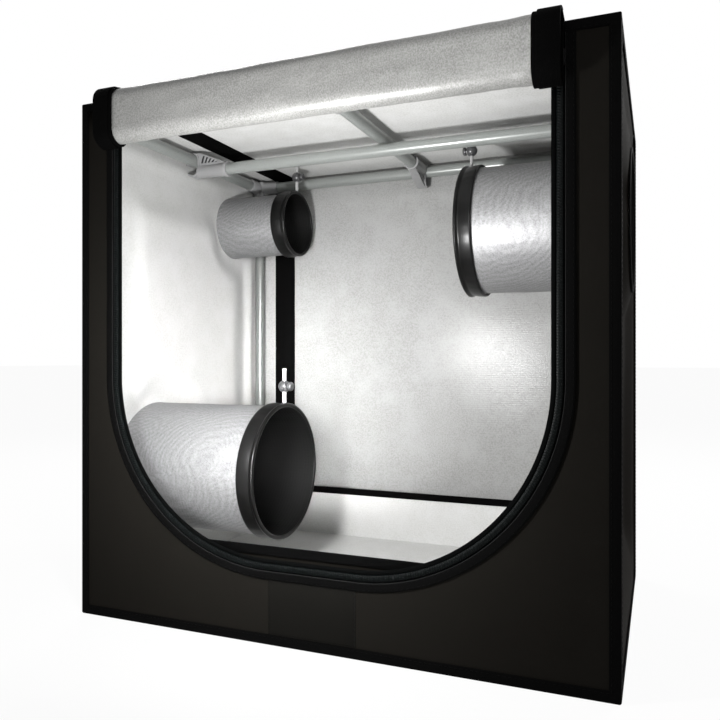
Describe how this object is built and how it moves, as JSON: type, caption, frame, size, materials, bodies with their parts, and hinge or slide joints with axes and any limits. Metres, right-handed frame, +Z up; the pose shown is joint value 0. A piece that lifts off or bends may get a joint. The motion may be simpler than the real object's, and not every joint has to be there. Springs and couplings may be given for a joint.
{
  "type": "indoor grow tent",
  "caption": "Fabric grow tent on a steel tube frame, with a rolled-up door over a U-shaped zip opening, duct sleeves with drawcord cuffs, sliding hanging bars and a floor tray.",
  "frame": {"origin": "centre of the underside of the fabric floor", "axes": "+Z up, the open door faces -Y, +X to the right seen from the door"},
  "size_m": [0.6, 0.4327, 0.6037],
  "materials": {
    "outer_fabric": "matt black-brown woven canvas with a fine diagonal weave",
    "black_tape": "matt black woven tape",
    "reflective_lining": "pale grey-white mottled reflective film on fabric",
    "sleeve_fabric": "white-silver woven fabric, black on its inside",
    "cuff_trim": "glossy black elastic cuff",
    "coated_steel": "satin greenish grey coated tube",
    "grey_plastic": "satin grey moulded plastic",
    "black_metal": "black coated zip metal",
    "white_cord": "white braided cord",
    "lock_plastic": "glossy dark grey moulded plastic"
  },
  "bodies": {
    "root": {"front_panel": "outer_fabric", "back_panel": "outer_fabric", "left_panel": "outer_fabric", "right_panel": "outer_fabric", "roof_panel": "outer_fabric", "floor_panel": "outer_fabric", "edge_binding": "black_tape", "zip_chain": "black_tape", "strap_left": "black_tape", "strap_right": "black_tape", "tray_hem": "black_tape", "webbing_left": "black_tape", "webbing_right": "black_tape", "door_roll": "reflective_lining", "floor_tray": "reflective_lining", "sleeve_lower_left": "sleeve_fabric", "sleeve_upper_left": "sleeve_fabric", "sleeve_upper_right": "sleeve_fabric", "cuff_lower_left": "cuff_trim", "cuff_upper_left": "cuff_trim", "cuff_upper_right": "cuff_trim", "bottom_rail_front": "coated_steel", "bottom_rail_rear": "coated_steel", "bottom_rail_left": "coated_steel", "bottom_rail_right": "coated_steel", "top_rail_front": "coated_steel", "top_rail_rear": "coated_steel", "top_rail_left": "coated_steel", "top_rail_right": "coated_steel", "upright_front_left": "coated_steel", "upright_front_right": "coated_steel", "upright_rear_left": "coated_steel", "upright_rear_right": "coated_steel", "corner_bottom_front_left": "grey_plastic", "corner_bottom_front_right": "grey_plastic", "corner_bottom_rear_left": "grey_plastic", "corner_bottom_rear_right": "grey_plastic", "corner_top_front_left": "grey_plastic", "corner_top_front_right": "grey_plastic", "corner_top_rear_left": "grey_plastic", "corner_top_rear_right": "grey_plastic", "drawcord_lower_left": "white_cord", "drawcord_upper_left": "white_cord", "drawcord_upper_right": "white_cord"},
    "crossbar": {"crossbar_tube": "coated_steel", "crossbar_clip_left": "grey_plastic", "crossbar_clip_right": "grey_plastic"},
    "centre_bar": {"centre_bar_tube": "coated_steel", "centre_bar_clip_front": "grey_plastic", "centre_bar_clip_rear": "grey_plastic"},
    "lock_lower_left": {"cord_lock_lower_left": "lock_plastic"},
    "button_lower_left": {"lock_button_lower_left": "lock_plastic"},
    "lock_upper_left": {"cord_lock_upper_left": "lock_plastic"},
    "button_upper_left": {"lock_button_upper_left": "lock_plastic"},
    "lock_upper_right": {"cord_lock_upper_right": "lock_plastic"},
    "button_upper_right": {"lock_button_upper_right": "lock_plastic"},
    "slider_left": {"zip_slider_left": "black_metal"},
    "tab_left": {"pull_tab_left": "black_metal"},
    "slider_right": {"zip_slider_right": "black_metal"},
    "tab_right": {"pull_tab_right": "black_metal"}
  },
  "joints": [
    {"name": "crossbar_slide", "type": "slide", "parent": "root", "child": "crossbar", "axis": [0, 1, 0], "range_m": [-0.11, 0.045]},
    {"name": "centre_bar_slide", "type": "slide", "parent": "root", "child": "centre_bar", "axis": [1, 0, 0], "range_m": [-0.155, 0.08]},
    {"name": "lock_slide_lower_left", "type": "slide", "parent": "root", "child": "lock_lower_left", "axis": [0, 0, 1], "range_m": [-0.012, 0.01]},
    {"name": "button_press_lower_left", "type": "slide", "parent": "lock_lower_left", "child": "button_lower_left", "axis": [-1, 0, 0], "range_m": [0, 0.0018], "stiffness_N_per_m": 800, "springref_m": -0.001},
    {"name": "lock_slide_upper_left", "type": "slide", "parent": "root", "child": "lock_upper_left", "axis": [0, 0, 1], "range_m": [-0.012, 0.01]},
    {"name": "button_press_upper_left", "type": "slide", "parent": "lock_upper_left", "child": "button_upper_left", "axis": [-1, 0, 0], "range_m": [0, 0.0018], "stiffness_N_per_m": 800, "springref_m": -0.001},
    {"name": "lock_slide_upper_right", "type": "slide", "parent": "root", "child": "lock_upper_right", "axis": [0, 0, 1], "range_m": [-0.012, 0.01]},
    {"name": "button_press_upper_right", "type": "slide", "parent": "lock_upper_right", "child": "button_upper_right", "axis": [1, 0, 0], "range_m": [0, 0.0018], "stiffness_N_per_m": 800, "springref_m": -0.001},
    {"name": "slider_slide_left", "type": "slide", "parent": "root", "child": "slider_left", "axis": [0, 0, 1], "range_m": [-0.28, 0]},
    {"name": "tab_hinge_left", "type": "hinge", "parent": "slider_left", "child": "tab_left", "pos_m": [-0.2481, -0.2049, 0.567], "axis": [-1, 0, 0], "range_deg": [0, 5]},
    {"name": "slider_slide_right", "type": "slide", "parent": "root", "child": "slider_right", "axis": [0, 0, 1], "range_m": [-0.28, 0]},
    {"name": "tab_hinge_right", "type": "hinge", "parent": "slider_right", "child": "tab_right", "pos_m": [0.2481, -0.2049, 0.567], "axis": [-1, 0, 0], "range_deg": [0, 5]}
  ]
}
